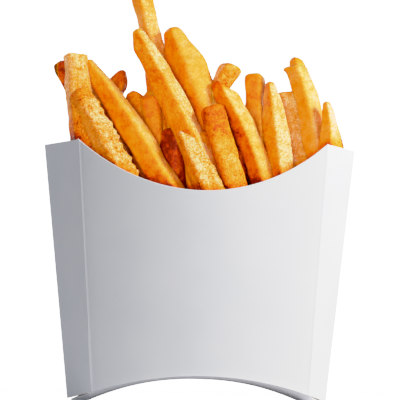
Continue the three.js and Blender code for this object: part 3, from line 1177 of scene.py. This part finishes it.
# %% Finish of the potato
POTATO_RAMP = [
    (0.0, colour(241, 199, 160)),
    (0.14, colour(236, 173, 107)),
    (0.32, colour(228, 152, 55)),
    (0.48, colour(223, 143, 21)),
    (0.64, colour(217, 120, 7)),
    (0.8, colour(202, 88, 4)),
    (0.92, colour(166, 50, 4)),
    (1.0, colour(126, 30, 5)),
]
NOTES = ("tone", "knob", "rough")
PATCH_TONE = 0.44
MOTTLE_TONE = (0.6, 0.2)
GRAIN_TONE = (0.5, 1.6)
GRAIN_FADE = 1.3
KNOB_PALER = 0.26
MOTTLE_BUMP = (0.3, 0.9)
GRAIN_BUMP = (0.2, 0.9)
OILY_SHEEN = (0.4, 0.2)


def fried_potato():
    """Golden potato whose tone is carried by the mesh."""
    finish = Finish("fried_potato")
    place = finish.node("TexCoord", output="Object")
    notes = [finish.node("Attribute", {"attribute_name": name}, output="Fac") for name in NOTES]
    tone, knob, rough = notes
    patches = finish.node("TexNoise", Vector=place, Scale=90.0, Detail=2.0)
    mottle = finish.node("TexNoise", Vector=place, Scale=330.0, Detail=2.0, Roughness=0.6)
    grain = finish.node("TexNoise", Vector=place, Scale=1400.0, Detail=2.0, Roughness=0.7)

    def amount(pair):
        return rough * pair[1] + pair[0]

    # The tone from the mesh holds painted shade as well as browning.
    shifted = tone + (patches - 0.5) * PATCH_TONE + (mottle - 0.5) * amount(MOTTLE_TONE)
    # Brown skin shows its grain less than pale skin does.
    shifted = shifted + (grain - 0.5) * amount(GRAIN_TONE) * (GRAIN_FADE - tone)
    shifted = shifted - knob * KNOB_PALER
    finish.set(Base_Color=finish.ramp(shifted, POTATO_RAMP))
    height = mottle * amount(MOTTLE_BUMP) + grain * amount(GRAIN_BUMP)
    bump = finish.node("Bump", Height=height, Strength=1.0, Distance=0.001)
    finish.set(Roughness=amount(OILY_SHEEN), Normal=bump, Specular_IOR_Level=0.14)
    finish.set(Subsurface_Weight=0.4, Subsurface_Scale=0.004, Subsurface_Radius=(1.0, 0.4, 0.1))
    return finish.material


POTATO = fried_potato()
print("potato tones", [place for place, shade in POTATO_RAMP])

# %% [markdown]
# ## Core
# Far down the sticks are packed tight and nothing of them shows, so one plain body stands
# for them there. It is the wall's own section, shrunk, and its top is a little dished. Its
# tone is dark, because what is seen of it between the sticks lies in their shadow.

# %% Core
CORE_INSET = 1.4
CORE_FOOT = 12
CORE_RISE = 14
CORE_HALF = 45
CORE_COLUMNS = 44
CORE_ROWS = 16
CORE_NARROW = 0.995
CORE_TONE = 0.8
CORE_ROUGH = 0.5


def core_top(x):
    """The height of the core's dished top."""
    return CORE_TOP + CORE_RISE * (x / CORE_HALF) ** 2


def core_shape():
    """A box whose sides are pressed onto the section inside the board."""
    bm = bmesh.new()
    bmesh.ops.create_cube(bm, size=2)
    long_edges = [edge for edge in bm.edges if runs(edge, 0) > 1]
    bmesh.ops.subdivide_edges(bm, edges=long_edges, cuts=CORE_COLUMNS - 1, use_grid_fill=True)
    rest = [edge for edge in bm.edges if runs(edge, 0) < 1e-6]
    bmesh.ops.subdivide_edges(bm, edges=rest, cuts=CORE_ROWS - 1, use_grid_fill=True)
    for vert in bm.verts:
        share, reach, height = vert.co
        rough_x = share * section_at(CORE_TOP, CORE_INSET)["seam"]
        z = lerp((CORE_FOOT, core_top(rough_x)), (height + 1) / 2)
        section = section_at(z, CORE_INSET)
        x = share * section["seam"] * CORE_NARROW
        vert.co = (x, reach * half_depth(x, section), z)
    return bm


def write_notes(piece, notes):
    """Stores what was noted for each point as attributes of the mesh."""
    for name, values in notes.items():
        layer = piece.data.attributes.new(name, "FLOAT", "POINT")
        layer.data.foreach_set("value", values)


core = add_piece("packed_core", core_shape(), [POTATO])
core_points = len(core.data.vertices)
core_notes = zip(NOTES, (CORE_TONE, 0.0, CORE_ROUGH))
write_notes(core, {name: [value] * core_points for name, value in core_notes})
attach(core, "root")
print("core", len(core.data.polygons), "faces")

# %% [markdown]
# ## Painted occlusion shade
# Where sticks stand close together, little light gets between them, and this shade is painted
# into the tone, which turns redder and darker. So a point's tone also depends on how crowded
# it is: rays go out from it, straight and leaning, and each counts for more the sooner it
# meets another stick.

# %% Painted occlusion shade
CROWD_REACH = 8.0
CROWD_START = 0.4
# How much darker the painted occlusion shade makes a fully crowded point.
OCCLUSION_SHADE_TONE = 0.2
CROWD_FROM = 0.2
CROWD_LEAN = 0.8
CROWD_WAYS = [Vector(way) for way in ((0, 0, 0), (1, 0, 0), (-1, 0, 0), (0, -1, 0), (0, 0, 1))]


def crowding(tree, point, normal):
    """How near other sticks are in front of a point, from 0 for open to 1 for touching."""
    near = 0.0
    for way in CROWD_WAYS:
        away = (normal + way * CROWD_LEAN).normalized()
        apart = tree.ray_cast(point + normal * CROWD_START, away, CROWD_REACH)[3]
        if apart is not None:
            near += 1 - apart / CROWD_REACH
    return smooth(CROWD_FROM, 1, near / len(CROWD_WAYS))


print("each point sends out", len(CROWD_WAYS), "rays, up to", CROWD_REACH, "mm long")

# %% [markdown]
# ## Heap
# The sticks are made one by one, in the order of their seeded numbers, and joined into a few
# pieces, so that no piece grows too heavy. Each stick is its own closed body in its piece.
# Only when all of them are there can each point tell how crowded it is, and so how much painted
# shade it gets.

# %% Heap
ROWS = {
    "fries_front": FRONT_ROW,
    "fries_middle": MIDDLE_ROW,
    "fries_back": BACK_ROW,
    "fries_short": FILL,
}
numbering = count()


def joined_sticks(row):
    """The sticks of a row in one bmesh, in millimetres, and their notes."""
    heap = bmesh.new()
    notes = {name: [] for name in NOTES}
    for fry in row:
        uneven = [1 + UNEVEN * (2 * next(heap_draw) - 1) for _ in range(RINGS + 1)]
        stick = shape_fry(fry, uneven, next(numbering), notes)
        single = bpy.data.meshes.new("stick")
        stick.to_mesh(single)
        stick.free()
        heap.from_mesh(single)
        bpy.data.meshes.remove(single)
    for face in heap.faces:
        face.smooth = True
    heap.verts.index_update()
    heap.normal_update()
    return heap, notes


def heap_tree(heaps):
    """One search tree over the sticks of all pieces."""
    points = []
    corners = []
    for heap in heaps:
        first = len(points)
        points += [vert.co.copy() for vert in heap.verts]
        corners += [[first + vert.index for vert in face.verts] for face in heap.faces]
    return BVHTree.FromPolygons(points, corners)


def heap_piece(name, heap, notes, tree):
    """Adds the painted occlusion shade to the tones, and turns the bmesh into a piece."""
    for vert in heap.verts:
        # Painted shade: a point is darker the nearer other sticks stand in front of it.
        notes["tone"][vert.index] += OCCLUSION_SHADE_TONE * crowding(tree, vert.co, vert.normal)
    piece = add_piece(name, heap, [POTATO])
    write_notes(piece, notes)
    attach(piece, "root")
    print(name, len(piece.data.polygons), "faces")
    return piece


made = {name: joined_sticks(row) for name, row in ROWS.items()}
tree = heap_tree([heap for heap, notes in made.values()])
pieces = [heap_piece(name, heap, notes, tree) for name, (heap, notes) in made.items()]
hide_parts("fries")

# %% [markdown]
# ## Cards
# Cooks who take pictures of fried food hold a golden card on the dark side of it, so that
# the shadows turn warm and not brown. Here each card is a lamp that is linked to some pieces
# alone. The golden ones, in front and behind, light only the potato, so the board's grey side
# stays grey. A white card on the left lifts the carton's own dark side a little, and one
# behind keeps the back, which the key lamp never reaches, from going dull.

# %% Cards
CARD_SIZE = 0.3
GOLDEN = (1.0, 0.87, 0.55)
heap = [core, *pieces]
# Each card has a name, a place in metres, a power in watts, a colour and what it lights.
CARDS = [
    ("golden_card", (-0.18, -0.55, 0.16), 3.3, GOLDEN, heap),
    ("white_card", (-0.5, 0.0, 0.2), 0.22, ROOM_COLOUR, [carton]),
    ("back_card", (-0.3, 0.5, 0.3), 1.5, KEY_COLOUR, [carton, *heap]),
    ("golden_back_card", (0.15, 0.55, 0.2), 2.0, GOLDEN, heap),
]

for name, place, power, tint, lit in CARDS:
    card = add_lamp(name, Vector(place), CARD_SIZE, power, tint)
    receivers = bpy.data.collections.new("lit_by_" + name)
    for piece in lit:
        receivers.objects.link(piece)
    card.light_linking.receiver_collection = receivers
    print(name, "lights", len(lit), "pieces")
